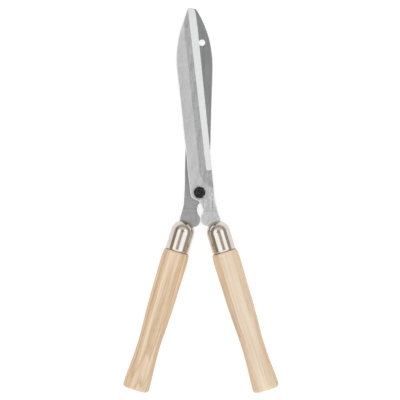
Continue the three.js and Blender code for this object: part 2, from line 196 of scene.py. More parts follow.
# ------------------------------------------------------------------ node tools
class Tree:
    def __init__(self, name):
        self.mat = bpy.data.materials.new(name)
        self.mat.use_nodes = True
        self.nt = self.mat.node_tree
        self.nt.nodes.clear()
        self.out = self.nt.nodes.new("ShaderNodeOutputMaterial")
        self.bsdf = self.nt.nodes.new("ShaderNodeBsdfPrincipled")
        self.link(self.bsdf.outputs[0], self.out.inputs[0])
        self.coord = self.nt.nodes.new("ShaderNodeTexCoord").outputs["Object"]

    def link(self, a, b):
        self.nt.links.new(a, b)

    def put(self, socket, value):
        if isinstance(value, bpy.types.NodeSocket):
            self.link(value, socket)
        else:
            socket.default_value = value

    def mapping(self, scale=(1, 1, 1), rotation=(0, 0, 0), location=(0, 0, 0), source=None):
        n = self.nt.nodes.new("ShaderNodeMapping")
        self.link(source or self.coord, n.inputs["Vector"])
        n.inputs["Scale"].default_value = scale
        n.inputs["Rotation"].default_value = rotation
        n.inputs["Location"].default_value = location
        return n.outputs[0]

    def noise(self, vector, scale, detail=3.0, rough=0.55, distortion=0.0):
        n = self.nt.nodes.new("ShaderNodeTexNoise")
        self.link(vector, n.inputs["Vector"])
        n.inputs["Scale"].default_value = scale
        n.inputs["Detail"].default_value = detail
        n.inputs["Roughness"].default_value = rough
        n.inputs["Distortion"].default_value = distortion
        return n.outputs["Fac"]

    def math(self, op, a, b=0.0, c=0.0, clamp=False):
        n = self.nt.nodes.new("ShaderNodeMath")
        n.operation = op
        n.use_clamp = clamp
        for socket, value in zip(n.inputs, (a, b, c)):
            self.put(socket, value)
        return n.outputs[0]

    def remap(self, value, a, b, lo, hi, smooth=True):
        n = self.nt.nodes.new("ShaderNodeMapRange")
        n.interpolation_type = "SMOOTHSTEP" if smooth else "LINEAR"
        self.put(n.inputs["Value"], value)
        n.inputs["From Min"].default_value = a
        n.inputs["From Max"].default_value = b
        n.inputs["To Min"].default_value = lo
        n.inputs["To Max"].default_value = hi
        return n.outputs["Result"]

    def mix(self, factor, a, b, kind="MIX"):
        n = self.nt.nodes.new("ShaderNodeMix")
        n.data_type = "RGBA"
        n.blend_type = kind
        self.put(n.inputs[0], factor)
        for socket, value in ((n.inputs[6], a), (n.inputs[7], b)):
            if isinstance(value, bpy.types.NodeSocket):
                self.link(value, socket)
            else:
                socket.default_value = (*value, 1)
        return n.outputs[2]

    def scale_color(self, color, factor):
        """color times a grey factor."""
        n = self.nt.nodes.new("ShaderNodeVectorMath")
        n.operation = "SCALE"
        if isinstance(color, bpy.types.NodeSocket):
            self.link(color, n.inputs[0])
        else:
            n.inputs[0].default_value = color
        self.put(n.inputs["Scale"], factor)
        return n.outputs[0]

    def xyz(self, vector=None):
        n = self.nt.nodes.new("ShaderNodeSeparateXYZ")
        self.link(vector or self.coord, n.inputs[0])
        return n.outputs

    def bump(self, height, distance, strength=1.0, normal=None):
        n = self.nt.nodes.new("ShaderNodeBump")
        self.put(n.inputs["Height"], height)
        n.inputs["Distance"].default_value = distance
        n.inputs["Strength"].default_value = strength
        if normal is not None:
            self.link(normal, n.inputs["Normal"])
        return n.outputs[0]


# ------------------------------------------------------------------- materials
def grey(value):
    """Neutral steel under the slightly warm studio light."""
    return (value * 1.005, value * 1.025, value * 1.028)


def steel(name, color, rough, lean, streak=0.10, cloud=0.06, ramp=None, pivot_marks=False, across=False, runout=None, crank_painted_light=None):
    """Satin steel with grinding streaks along the blade (or across it). runout =
    (flat, ground) blends the two tones where the face grind fades out by the pivot."""
    t = Tree(name)
    b = t.bsdf
    b.inputs["Metallic"].default_value = 1.0
    turned = t.mapping(rotation=(0, 0, math.radians(lean)))
    stretch = (14.0, 0.6, 1.0) if across is False else (0.6, 14.0, 1.0)
    fine = t.noise(t.mapping(scale=stretch, source=turned), 160.0, 4.0, 0.6)
    wide = t.noise(t.mapping(scale=(1.0, 0.08, 1.0) if not across else (0.08, 1.0, 1.0), source=turned), 260.0, 3.0, 0.6)
    clouds = t.noise(turned, 55.0, 4.0, 0.62)
    grain = t.noise(turned, 900.0, 2.0, 0.5)
    tone = t.math("MULTIPLY_ADD", t.math("SUBTRACT", wide, 0.5), 2 * streak, 1.0)
    tone = t.math("MULTIPLY_ADD", t.math("SUBTRACT", fine, 0.5), streak, tone)
    tone = t.math("MULTIPLY_ADD", t.math("SUBTRACT", clouds, 0.5), 2 * cloud, tone)
    tone = t.math("MULTIPLY_ADD", t.math("SUBTRACT", grain, 0.5), 0.10, tone)
    mottle = t.noise(t.mapping(scale=(1.0, 0.30, 1.0) if not across else (0.5, 1.0, 1.0), source=turned), 620.0, 3.0, 0.65)
    tone = t.math("MULTIPLY_ADD", t.math("SUBTRACT", mottle, 0.5), 3.2 * streak, tone)
    x, y, z = t.xyz()
    blotch = t.noise(turned, 540.0, 2.0, 0.6)
    tone = t.math("MULTIPLY_ADD", t.math("SUBTRACT", blotch, 0.5), t.remap(y, -8.0 * MM, 14.0 * MM, 0.80, 0.14), tone)
    if ramp:
        for y0, y1, k0, k1 in ramp:
            tone = t.math("MULTIPLY", tone, t.remap(y, y0 * MM, y1 * MM, k0, k1))
    if crank_painted_light:
        # painted light over the set in the shank: the tone is scaled by 1 + amount across the bend, a painted shade
        # where amount is negative and a painted highlight where it is positive, evening out the band the bend shows
        amount, y0, y1, y2, y3 = crank_painted_light
        bend = t.math("MULTIPLY", t.remap(y, y0 * MM, y1 * MM, 0.0, 1.0), t.remap(y, y2 * MM, y3 * MM, 1.0, 0.0))
        tone = t.math("MULTIPLY", tone, t.math("MULTIPLY_ADD", bend, amount, 1.0))
    if runout:
        u = t.math("SUBTRACT", 25.1 * MM, y)
        up = t.math("MAXIMUM", u, 0.0)
        f = t.math("MULTIPLY_ADD", u, 0.10815, 0.3 * MM)
        f = t.math("MULTIPLY_ADD", up, 0.1225, f)
        f = t.math("MULTIPLY_ADD", t.math("MULTIPLY", up, up), 0.01303 / MM, f)
        last = t.math("MAXIMUM", t.math("SUBTRACT", u, 12.0 * MM), 0.0)
        f = t.math("MULTIPLY_ADD", t.math("MULTIPLY", last, last), 0.11 / MM, f)
        soft = t.remap(y, 7.0 * MM, 18.0 * MM, 9.5 * MM, 0.3 * MM)
        share = t.remap(t.math("DIVIDE", t.math("SUBTRACT", x, f), soft), -1.0, 1.0, 0.0, 1.0)
        edge = t.math("MULTIPLY", t.remap(x, 6.0 * MM, 14.0 * MM, 0.0, 1.0), t.math("MULTIPLY", t.remap(y, 6.0 * MM, 13.0 * MM, 0.0, 1.0), t.remap(y, 26.0 * MM, 34.0 * MM, 1.0, 0.0)))
        ground = t.math("MULTIPLY_ADD", edge, -0.10, t.remap(y, 0.0, 27.0 * MM, 0.86, 1.0))
        ground = t.scale_color(grey(runout[1]), ground)
        color = t.mix(share, grey(runout[0]), ground)
    if pivot_marks:
        # a rubbed ring round the washer, scuffs and small pits beside the nut,
        # and darker drag lines down the shank
        r = t.math("SQRT", t.math("ADD", t.math("MULTIPLY", x, x), t.math("MULTIPLY", y, y)))
        ring = t.math("MULTIPLY", t.remap(r, 8.7 * MM, 9.3 * MM, 0.0, 1.0), t.remap(r, 9.7 * MM, 10.4 * MM, 1.0, 0.0))
        tone = t.math("MULTIPLY_ADD", ring, 0.03, tone)
        dist = t.math("SQRT", t.math("ADD",
            t.math("POWER", t.math("SUBTRACT", x, 9.5 * MM), 2.0), t.math("POWER", t.math("ADD", y, 9.0 * MM), 2.0)))
        near = t.remap(dist, 3.0 * MM, 8.0 * MM, 1.0, 0.0)
        pits = t.remap(t.noise(turned, 1300.0, 2.0, 0.6), 0.56, 0.72, 0.0, 1.0)
        tone = t.math("MULTIPLY_ADD", t.math("MULTIPLY", pits, near), -0.26, tone)
        band = t.math("MULTIPLY", t.remap(y, -20.5 * MM, -18.5 * MM, 0.0, 1.0), t.remap(y, -9.0 * MM, -5.0 * MM, 1.0, 0.0))
        lines = t.remap(t.noise(t.mapping(scale=(1.0, 0.05, 1.0), rotation=(0, 0, math.radians(-14))), 420.0, 1.0, 0.5), 0.50, 0.62, 0.0, 1.0)
        tone = t.math("MULTIPLY_ADD", band, 0.04, tone)
        tone = t.math("MULTIPLY_ADD", t.math("MULTIPLY", lines, band), -0.27, tone)
        under = t.math("MULTIPLY", t.remap(r, 8.0 * MM, 15.0 * MM, 1.0, 0.0), t.remap(y, -3.0 * MM, -7.0 * MM, 0.0, 1.0))
        tone = t.math("MULTIPLY_ADD", under, -0.19, tone)
    t.link(t.scale_color(color, tone), b.inputs["Base Color"])
    t.link(t.math("MULTIPLY_ADD", wide, 0.16, t.math("MULTIPLY_ADD", clouds, 0.10, rough - 0.13)), b.inputs["Roughness"])
    height = t.math("MULTIPLY_ADD", fine, 0.7, t.math("MULTIPLY", grain, 0.3))
    t.link(t.bump(height, 0.012 * MM, 0.5), b.inputs["Normal"])
    return t.mat


def nickel(name):
    t = Tree(name)
    b = t.bsdf
    b.inputs["Metallic"].default_value = 1.0
    smudge = t.noise(t.coord, 90.0, 4.0, 0.6, 0.4)
    ring = t.noise(t.mapping(scale=(0.15, 6.0, 0.15)), 400.0, 2.0, 0.5)
    t.link(t.mix(t.remap(smudge, 0.3, 0.75, 0.0, 1.0), (0.672, 0.624, 0.572), (0.632, 0.583, 0.530)), b.inputs["Base Color"])
    t.link(t.math("MULTIPLY_ADD", smudge, 0.09, t.math("MULTIPLY_ADD", ring, 0.05, 0.09)), b.inputs["Roughness"])
    t.link(t.bump(t.noise(t.coord, 130.0, 2.0, 0.5), 0.05 * MM, 0.35), b.inputs["Normal"])
    return t.mat


def black_oxide(name, color=(0.0055, 0.0054, 0.0057), rough=0.42):
    t = Tree(name)
    b = t.bsdf
    mott = t.noise(t.coord, 700.0, 4.0, 0.6)
    wear = t.remap(t.noise(t.coord, 360.0, 3.0, 0.65), 0.50, 0.68, 0.0, 1.0)
    t.link(t.mix(wear, color, tuple(c * 7.5 for c in color)), b.inputs["Base Color"])
    b.inputs["Specular IOR Level"].default_value = 0.22
    b.inputs["Metallic"].default_value = 0.0
    t.link(t.math("MULTIPLY_ADD", mott, 0.25, rough - 0.12), b.inputs["Roughness"])
    t.link(t.bump(mott, 0.03 * MM, 0.5), b.inputs["Normal"])
    return t.mat


def nylon_look(name):
    t = Tree(name)
    b = t.bsdf
    grain = t.noise(t.coord, 1500.0, 3.0, 0.6)
    t.link(t.mix(grain, (0.040, 0.040, 0.042), (0.068, 0.068, 0.071)), b.inputs["Base Color"])
    b.inputs["Specular IOR Level"].default_value = 0.35
    t.link(t.math("MULTIPLY_ADD", grain, 0.15, 0.45), b.inputs["Roughness"])
    t.link(t.bump(grain, 0.02 * MM, 0.4), b.inputs["Normal"])
    return t.mat


def ash(name, pith, bend, ring_w, phase, pale, warm, seed, drift=0.0, lines=1.0, figure=1.0, side_shade_strips=((5.5, 11.0), (5.5, 11.0)), shade=()):
    """Pale ash: growth rings cut by the surface, long fibres and open pores.
    pith is the tree's middle, seen down the handle; bend = (start, curve) tips the
    rings out of the face from start on down, which cuts them in pointed arches."""
    t = Tree(name)
    b = t.bsdf
    x, y, z = t.xyz()
    shift = (seed * 0.37, seed * 0.73, seed * 0.19)
    slow = t.math("SUBTRACT", t.noise(t.mapping(scale=(1.0, 0.10, 1.0), location=shift), 90.0, 1.0, 0.5), 0.5)
    waver = t.math("SUBTRACT", t.noise(t.mapping(scale=(1.0, 0.06, 1.0), location=shift), 420.0, 2.0, 0.5), 0.5)
    px = t.math("MULTIPLY_ADD", y, drift, t.math("SUBTRACT", x, pith[0] * MM))
    pz = t.math("SUBTRACT", z, pith[1] * MM)
    rho = t.math("SQRT", t.math("ADD", t.math("MULTIPLY", px, px), t.math("MULTIPLY", pz, pz)))
    down = t.math("MAXIMUM", t.math("SUBTRACT", t.math("MULTIPLY", y, -1.0), bend[0] * MM), 0.0)
    rho = t.math("MULTIPLY_ADD", t.math("MULTIPLY", down, down), -bend[1] / MM, rho)
    rho = t.math("MULTIPLY_ADD", slow, 2.2 * MM, rho)
    rho = t.math("MULTIPLY_ADD", waver, 0.55 * MM, rho)
    ring = t.math("FRACT", t.math("ADD", t.math("DIVIDE", rho, ring_w * MM), phase))
    early = t.math("MULTIPLY", t.remap(ring, 0.0, 0.10, 0.0, 1.0), t.remap(ring, 0.12, 0.50, 1.0, 0.0))
    fibre = t.noise(t.mapping(scale=(1.0, 0.014, 1.0), location=shift), 1500.0, 3.0, 0.6)
    streak = t.noise(t.mapping(scale=(1.0, 0.016, 1.0), location=shift), 440.0, 3.0, 0.62)
    band = t.noise(t.mapping(scale=(1.0, 0.05, 1.0), location=shift), 190.0, 2.0, 0.5)
    broad = t.noise(t.mapping(scale=(1.0, 0.20, 1.0), location=shift), 60.0, 2.0, 0.5)
    pore = t.remap(t.noise(t.mapping(scale=(1.0, 0.045, 1.0), location=shift), 2600.0, 1.0, 0.5), 0.60, 0.68, 0.0, 1.0)
    pore = t.math("MULTIPLY", pore, t.math("MULTIPLY_ADD", early, 0.8, 0.2))
    deep = tuple(c * k for c, k in zip(warm, (0.80, 0.72, 0.62)))
    color = t.mix(t.remap(broad, 0.32, 0.68, 0.0, 0.6), pale, tuple(0.5 * (p + q) for p, q in zip(pale, warm)))
    wobble = t.math("MULTIPLY", t.math("SUBTRACT", band, 0.5), 9.0 * MM)
    # painted shade: towards the rounded sides (the left and right masks) the wood turns warmer and darker, with
    # stronger streaks
    (l0, l1), (r0, r1) = side_shade_strips
    left = t.remap(t.math("SUBTRACT", wobble, x), l0 * MM, l1 * MM, 0.0, 0.9)
    right = t.remap(t.math("ADD", wobble, x), r0 * MM, r1 * MM, 0.0, 0.9)
    side = t.math("MAXIMUM", left, right)
    color = t.mix(side, color, warm)
    strength = t.math("MULTIPLY_ADD", side, 0.7 / figure, figure)
    color = t.mix(t.math("MULTIPLY", early, 0.50 * lines), color, deep)
    color = t.mix(t.math("MULTIPLY", t.remap(streak, 0.45, 0.74, 0.0, 0.55), strength), color, deep)
    color = t.mix(t.math("MULTIPLY", t.remap(streak, 0.50, 0.26, 0.0, 0.55), strength), color, tuple(min(1.0, c * 1.05) for c in pale))
    tone = t.math("MULTIPLY_ADD", t.math("SUBTRACT", fibre, 0.5), 0.26, 1.0)
    tone = t.math("MULTIPLY_ADD", t.math("SUBTRACT", band, 0.5), t.math("MULTIPLY", strength, 0.16), tone)
    tone = t.math("MULTIPLY_ADD", pore, -0.22, tone)
    # painted shade: each entry darkens a stretch of one side by its amount; a negative amount lightens it
    for part, y0, y1, amount in shade:  # a stretch of one side that is darker than the rest
        along = t.math("MULTIPLY", t.remap(y, (y0 + 14) * MM, (y0 - 14) * MM, 0.0, 1.0), t.remap(y, (y1 + 14) * MM, (y1 - 14) * MM, 1.0, 0.0))
        tone = t.math("MULTIPLY_ADD", t.math("MULTIPLY", left if part == "left" else right, along), -amount, tone)
    t.link(t.scale_color(color, tone), b.inputs["Base Color"])
    b.inputs["Specular IOR Level"].default_value = 0.3
    t.link(t.math("MULTIPLY_ADD", fibre, 0.16, t.math("MULTIPLY_ADD", early, 0.08, 0.46)), b.inputs["Roughness"])
    height = t.math("MULTIPLY_ADD", pore, -1.0, t.math("MULTIPLY", fibre, 0.45))
    height = t.math("MULTIPLY_ADD", early, -0.35, height)
    t.link(t.bump(height, 0.06 * MM, 0.55), b.inputs["Normal"])
    return t.mat


# ---------------------------------------------------------------------- blades
FRONT_TOP = [(-1.0, 194.5), (-1.8, 202.5), (-2.65, 210.3), (-3.6, 217.5), (-4.45, 223.0), (-5.1, 227.0),
    (-6.2, 229.8), (-8.2, 231.8), (-10.9, 232.6), (-13.4, 232.0), (-15.3, 230.2), (-16.5, 227.2),
    (-18.2, 221.9), (-19.8, 216.8), (-21.5, 211.9), (-23.0, 207.3), (-24.3, 203.5), (-25.9, 196.9),
    (-27.1, 190.5), (-28.3, 182.0), (-29.0, 173.0), (-29.1, 166.0), (-28.8, 158.5), (-28.15, 151.3),
    (-27.0, 141.2), (-24.7, 121.1), (-22.5, 100.9), (-20.35, 80.8), (-18.2, 60.6), (-16.0, 41.1), (-14.3, 21.8),
    (-12.95, 10.2), (-11.95, 1.2), (-11.35, -3.0), (-10.4, -5.4), (-8.7, -7.0), (-4.8, -8.9),
    (-1.6, -10.5), (-0.3, -11.5), (0.45, -13.2), (1.6, -15.0), (3.0, -17.5), (3.9, -20.0), (4.25, -22.3),
    (3.6, -24.9), (2.4, -27.6), (1.75, -29.8), (1.45, -31.8), (1.35, -34.0), (1.5, -36.4), (2.5, -38.7),
    (4.5, -40.6), (7.4, -42.1), (10.6, -43.1)]
FRONT_LOW = [(26.8, -35.2), (25.3, -30.1), (23.7, -25.1), (22.3, -20.0), (20.85, -15.0), (19.75, -10.0),
    (19.05, -4.9), (18.65, 0.1), (17.75, 10.2), (16.7, 20.3), (15.75, 28.2)]
REAR_TOP = [(-14.2, 194.0), (-13.95, 204.0), (-13.75, 210.0), (-13.35, 217.1), (-12.95, 222.7),
    (-12.4, 226.7), (-11.5, 229.2), (-10.2, 230.7), (-8.3, 231.6), (-6.2, 231.7), (-4.6, 230.9),
    (-3.3, 229.3), (-1.85, 226.9), (0.95, 221.9), (3.4, 216.8), (5.75, 211.8), (7.7, 206.8),
    (9.55, 201.7), (11.15, 196.7), (12.6, 191.6), (14.45, 181.6), (15.75, 171.5), (16.3, 161.4),
    (16.25, 151.3), (15.95, 141.2), (15.35, 121.1), (14.65, 100.9), (14.2, 80.8), (13.7, 60.6), (12.9, 42.2),
    (12.55, 22.9), (12.1, 11.2), (11.8, 2.1), (11.5, -2.1), (10.8, -4.6), (9.2, -6.3), (5.5, -8.5),
    (2.4, -10.3), (1.0, -11.6), (0.0, -13.2), (-1.35, -15.0), (-2.4, -17.5), (-3.05, -20.0), (-3.15, -22.3),
    (-2.6, -25.0), (-1.5, -27.6), (-0.1, -29.8), (0.65, -31.8), (0.95, -34.0), (0.8, -36.4), (-0.2, -38.9),
    (-2.0, -41.1), (-4.6, -42.7), (-7.2, -43.5), (-9.5, -43.9)]
REAR_LOW = [(-25.1, -35.2), (-24.0, -30.1), (-22.5, -25.1), (-21.0, -20.0), (-19.95, -15.0), (-19.5, -10.0),
    (-19.2, -4.9), (-18.95, 0.1), (-18.55, 10.2), (-18.45, 20.3), (-18.4, 28.2)]


def tang(half, inner, outer):
    rows = [(-33.6, inner), (-31.2, inner + 0.7), (-28.6, -6.4), (-26.4, -5.1), (20, -4.1), (57, -3.1),
        (60.8, -1.9), (62, 0), (60.8, 1.9), (57, 3.1), (20, 4.1), (-26.4, 5.1), (-28.6, 5.9),
        (-31.5, outer - 0.3), (-35.5, outer)]
    return [np.array(along(half, s, w)) for s, w in rows]


def line_x(x0, y0, x1, y1):
    return lambda y: x0 + (x1 - x0) * (y - y0) / (y1 - y0)


edge_x = line_x(15.75, 28.2, -1.0, 194.5)
bevel_x = line_x(8.05, 31.9, -13.8, 224.4)
grind_hi = line_x(0.3, 25.1, -20.0, 212.8)
RUNOUT = catmull([(0.3, 25.1), (2.5, 19.6), (4.6, 14.4), (7.0, 9.6), (10.4, 4.6), (14.8, -0.6), (20.5, -6.5), (28.0, -13.0)], 5)
_ry = np.array([p[1] for p in RUNOUT])[::-1]
_rx = np.array([p[0] for p in RUNOUT])[::-1]


def grind_x(y):
    return grind_hi(y) if y >= 25.1 else float(np.interp(y, _ry, _rx))


def outer_depth(x, y):
    """How far the outer face is ground away, and which zone it is, in the front blade's own place."""
    width = bevel_x(max(y, 25.1)) - grind_hi(max(y, 25.1))
    g = grind_x(y)
    depth, zone = 0.0, 0
    if x > g:
        depth, zone = GRIND_DROP * min((x - g) / width, 1.6), 1
    if y > BEVEL_END - STEP_W * 0.5:
        xb = bevel_x(y)
        if x > xb:
            t = (x - xb) / (edge_x(y) - xb)
            depth = GRIND_DROP + (PLATE_T - EDGE_LAND - GRIND_DROP) * t
            zone = 2
    return depth, zone


def sheet_mid(y):
    t = min(max((CRANK_TOP - y) / (CRANK_TOP - CRANK_END), 0), 1)
    return MID * (1 - (3 - 2 * t) * t * t)


def distances(points, polygon):
    """Distance of each point from a closed polygon's edges."""
    P = np.array(points)
    A = np.array(polygon)
    B = np.roll(A, -1, axis=0)
    best = np.full(len(P), 1e9)
    for a, b in zip(A, B):
        ab = b - a
        t = np.clip(((P - a) @ ab) / max(ab @ ab, 1e-12), 0, 1)
        best = np.minimum(best, np.linalg.norm(P - (a + t[:, None] * ab), axis=1))
    return best


def inside(points, polygon):
    P = np.array(points)
    A = np.array(polygon)
    B = np.roll(A, -1, axis=0)
    odd = np.zeros(len(P), bool)
    for (ax, ay), (bx, by) in zip(A, B):
        if ay == by:
            continue
        hit = (P[:, 1] > min(ay, by)) & (P[:, 1] <= max(ay, by))
        xs = ax + (P[:, 1] - ay) * (bx - ax) / (by - ay)
        odd ^= hit & (P[:, 0] < xs)
    return odd


def offset(polygon, d):
    """The closed polygon moved inwards by d[i] at each point (counter-clockwise polygons)."""
    A = np.array(polygon)
    area = 0.5 * np.sum(A[:, 0] * np.roll(A[:, 1], -1) - np.roll(A[:, 0], -1) * A[:, 1])
    sign = 1 if area > 0 else -1
    e0 = A - np.roll(A, 1, axis=0)
    e1 = np.roll(A, -1, axis=0) - A
    n0 = sign * np.stack([-e0[:, 1], e0[:, 0]], 1) / np.maximum(np.linalg.norm(e0, axis=1), 1e-9)[:, None]
    n1 = sign * np.stack([-e1[:, 1], e1[:, 0]], 1) / np.maximum(np.linalg.norm(e1, axis=1), 1e-9)[:, None]
    n = n0 + n1
    n /= np.maximum(np.linalg.norm(n, axis=1), 1e-6)[:, None]
    miter = 1 / np.maximum((n * n0).sum(1), 0.5)
    return A + n * (np.array(d) * miter)[:, None]


def blade(name, outline, holes, face, to_front, materials):
    """face +1: the ground face is up (front blade); -1: it is down (rear blade).
    to_front maps a point onto the front blade's own layout."""
    rings = [(outline, 1)] + [(h, -1) for h in holes]
    verts, edges = [], []

    def add_loop(points, closed=True):
        start = len(verts)
        verts.extend(Vector((float(x), float(y))) for x, y in points)
        n = len(points)
        edges.extend((start + i, start + (i + 1) % n) for i in range(n if closed else n - 1))

    def thin(points):
        out = []
        for x, y in points:
            depth, _ = outer_depth(*to_front(x, y))
            out.append(PLATE_T - depth)
        return np.array(out)

    EDGE_A = 0.8
    for loop, sense in rings:
        loop = np.array(loop)
        t = thin(offset(loop, np.full(len(loop), 0.02 * sense)))
        reach = np.minimum(EDGE_A, 0.28 * t)
        add_loop(loop)
        for share in (0.10, 0.34, 0.66, 1.0):
            add_loop(offset(loop, reach * share * sense))

    def back(points):  # from the front blade's layout to this blade's
        return [from_front(*p) for p in points]

    from_front = to_front.inverse if hasattr(to_front, "inverse") else (lambda x, y: (x, y))
    ys = np.linspace(BEVEL_END, 245, 3)
    add_loop(back([(bevel_x(y), y) for y in ys]), False)
    add_loop(back([(bevel_x(BEVEL_END), BEVEL_END), (30, BEVEL_END)]), False)
    add_loop(back([(bevel_x(BEVEL_END), BEVEL_END - STEP_W), (30, BEVEL_END - STEP_W)]), False)
    add_loop(back([(bevel_x(BEVEL_END), BEVEL_END), (bevel_x(BEVEL_END), BEVEL_END - STEP_W)]), False)
    add_loop(back([(grind_hi(y), y) for y in np.linspace(245, 25.1, 3)] + [tuple(p) for p in RUNOUT[1:]]), False)
    # soft rows over the run-out so that its curved fall shades smoothly
    for k in (2.5, 5.0, 7.5, 10.0):
        add_loop(back([(x + k, y + 0.0) for x, y in RUNOUT]), False)
    for i in range(15):
        y = CRANK_TOP + (CRANK_END - CRANK_TOP) * i / 14
        add_loop([(-45, y), (45, y)], False)
    for y in (60, 100, 140, 180, 214):
        add_loop([(-45, y), (45, y)], False)

    vs, es, fs, *_ = delaunay_2d_cdt(verts, edges, [], 0, 1e-5, False)
    P = np.array([tuple(v) for v in vs])
    centroid = np.array([np.mean(P[list(f)], axis=0) for f in fs])
    keep = inside(centroid, outline)
    for h in holes:
        keep &= ~inside(centroid, h)
    F = [list(f) for f, k in zip(fs, keep) if k]
    used = sorted({i for f in F for i in f})
    index = {old: new for new, old in enumerate(used)}
    P = P[used]
    F = [[index[i] for i in f] for f in F]

    dist = distances(P, outline)
    for h in holes:
        dist = np.minimum(dist, distances(P, h))
    n = len(P)
    outer_z, inner_z = np.zeros(n), np.zeros(n)
    for i, (x, y) in enumerate(P):
        fx, fy = to_front(x, y)
        depth, _ = outer_depth(fx, fy)
        thickness = PLATE_T - depth
        reach = min(EDGE_A, 0.28 * thickness)
        drop = min(0.36, 0.28 * thickness)
        u = min(max(1 - dist[i] / reach, 0), 1)
        fall = drop * (1 - math.sqrt(max(1 - u * u, 0)))
        mid = sheet_mid(y)
        outer_z[i] = mid + PLATE_T / 2 - depth - fall
        reach_in = min(0.25, 0.25 * thickness)
        v = min(max(1 - dist[i] / reach_in, 0), 1)
        inner_z[i] = mid - PLATE_T / 2 + reach_in * (1 - math.sqrt(max(1 - v * v, 0)))
    top = np.column_stack([P, face * outer_z])
    low = np.column_stack([P, face * inner_z])
    allv = [tuple(v) for v in top] + [tuple(v) for v in low]
    faces, zones = [], []
    count = {}
    middles = np.array([P[f].mean(axis=0) for f in F])
    fd = distances(middles, outline)
    for h in holes:
        fd = np.minimum(fd, distances(middles, h))
    for k, f in enumerate(F):
        fx, fy = to_front(*middles[k])
        depth, zone = outer_depth(fx, fy)
        rounding = fd[k] < min(EDGE_A, 0.28 * (PLATE_T - depth)) and zone != 2
        faces.append(f)
        zones.append(4 if rounding else zone)
        faces.append([i + n for i in reversed(f)])
        zones.append(3)
        for a, b in zip(f, f[1:] + f[:1]):
            key = (min(a, b), max(a, b))
            count.setdefault(key, []).append((a, b))
    for key, uses in count.items():
        if len(uses) == 1:
            a, b = uses[0]
            faces.append([b, a, a + n, b + n])
            zones.append(5)
    me = mesh_from(name, allv, faces, zones, 38)
    # the ground faces meet along crisp lines
    sharp = me.attributes.get("sharp_edge") or me.attributes.new("sharp_edge", "BOOLEAN", "EDGE")
    flags = np.zeros(len(me.edges), bool)
    sharp.data.foreach_get("value", flags)
    by_edge = {}
    for p in me.polygons:
        for k in p.edge_keys:
            by_edge.setdefault(k, []).append(p.material_index)
    for e in me.edges:
        z = by_edge.get(tuple(sorted(e.vertices)), [])
        if len(z) == 2 and {z[0], z[1]} in ({0, 1}, {1, 2}, {0, 2}):
            p = me.vertices[e.vertices[0]].co / MM
            fx, fy = to_front(p.x, p.y)
            if {z[0], z[1]} == {0, 1} and fy < 14:
                continue
            flags[e.index] = True
    sharp.data.foreach_set("value", flags)
    return weighted(new_object(name, me, pivot_matrix(), materials))


class Same:
    def __call__(self, x, y):
        return x, y

    def inverse(self, x, y):
        return x, y


class Turned:
    """The rear blade is the front one turned over and leaned by 4.5 degrees."""
    c, s = math.cos(math.radians(4.5)), math.sin(math.radians(4.5))

    def inverse(self, x, y):  # front layout -> rear blade
        return -x * self.c - y * self.s, -x * self.s + y * self.c

    def __call__(self, X, Y):  # rear blade -> front layout
        return -X * self.c - Y * self.s, -X * self.s + Y * self.c


def circle(x, y, r, n):
    return [np.array((x + r * math.cos(2 * math.pi * k / n), y + r * math.sin(2 * math.pi * k / n))) for k in range(n)]


def square(h, corner=0.5, n=4):
    pts = []
    for cx, cy, a0 in ((h - corner, h - corner, 0), (corner - h, h - corner, 90), (corner - h, corner - h, 180), (h - corner, corner - h, 270)):
        for k in range(n + 1):
            a = math.radians(a0 + 90 * k / n)
            pts.append(np.array((cx + corner * math.cos(a), cy + corner * math.sin(a))))
    return pts


def blade_materials(who, lean, flat, grind, bevel, inner, ramp_flat=None, ramp_inner=None):
    return [
        # painted shade across the bend in the shank on the front flat (-0.25), painted highlight there on the rear
        # inner face (+0.24)
        steel(who + "_flat", grey(flat), 0.40, lean, 0.12, 0.07, ramp_flat, who == "front",
            runout=(flat, grind) if who == "front" else None, crank_painted_light=(-0.25, -28.2, -24.6, -20.8, -17.4) if who == "front" else None),
        steel(who + "_face_grind", grey(grind), 0.42, lean, 0.26, 0.07, [(125, 175, 1.0, 1.07)] if who == "front" else None, who == "front",
            runout=(flat, grind) if who == "front" else None),
        steel(who + "_bevel", grey(bevel), 0.34, lean, 0.08, 0.04, None, False, True),
        steel(who + "_inner_face", grey(inner), 0.40, lean, 0.14, 0.07, ramp_inner, False,
            crank_painted_light=(0.24, -27.0, -24.0, -22.0, -19.0) if who == "rear" else None),
        # painted highlight: the rounded edges get a brighter steel, 0.80 against 0.60 on the front flat
        steel(who + "_eased_edge_painted_highlight", grey(0.80), 0.34, lean, 0.08, 0.05),
        steel(who + "_rim", (0.36, 0.36, 0.36), 0.45, lean, 0.12, 0.08),
    ]


front_outline = catmull(FRONT_LOW, 4) + catmull(FRONT_TOP, 4) + tang(FRONT, -10.5, 7.5)
rear_outline = catmull(REAR_LOW, 4) + catmull(REAR_TOP, 4) + tang(REAR, -9.7, 7.8)

front_blade = blade("front_blade_fine", front_outline, [circle(0, 0, 4.1, 48)], 1, Same(),
    blade_materials("front", 5.7, 0.60, 0.452, 0.622, 0.40, [(-30, -24, 0.975, 1.0), (110, 170, 1.0, 1.085)]))
# painted shade: the rear blade is the same steel as the front one, given darker tones (flat 0.42 against 0.60, ground
# face 0.34 against 0.452, inner face 0.312 against 0.40) for how the light falls on it
rear_blade = blade("rear_blade_fine", rear_outline, [circle(3.1, 189.0, 4.0, 56), square(4.3)], -1, Turned(),
    blade_materials("rear", -1.5, 0.42, 0.34, 0.62, 0.312, None, [(-20, 25, 1.22, 1.0)]))

# ---------------------------------------------------------------------- pivot
REAR_FACE, FRONT_FACE = -OUTER_Z, OUTER_Z
GAP = 0.3
WASHER_Z = FRONT_FACE + GAP
NUT_Z = WASHER_Z + 1.5 + GAP
NUT_HEX_H, NUT_COLLAR_H, NUT_COLLAR_R = 5.6, 2.0, 5.9
BOLT_TOP = NUT_Z + NUT_HEX_H + NUT_COLLAR_H - 0.2
NUT_TURN = math.radians(-8)


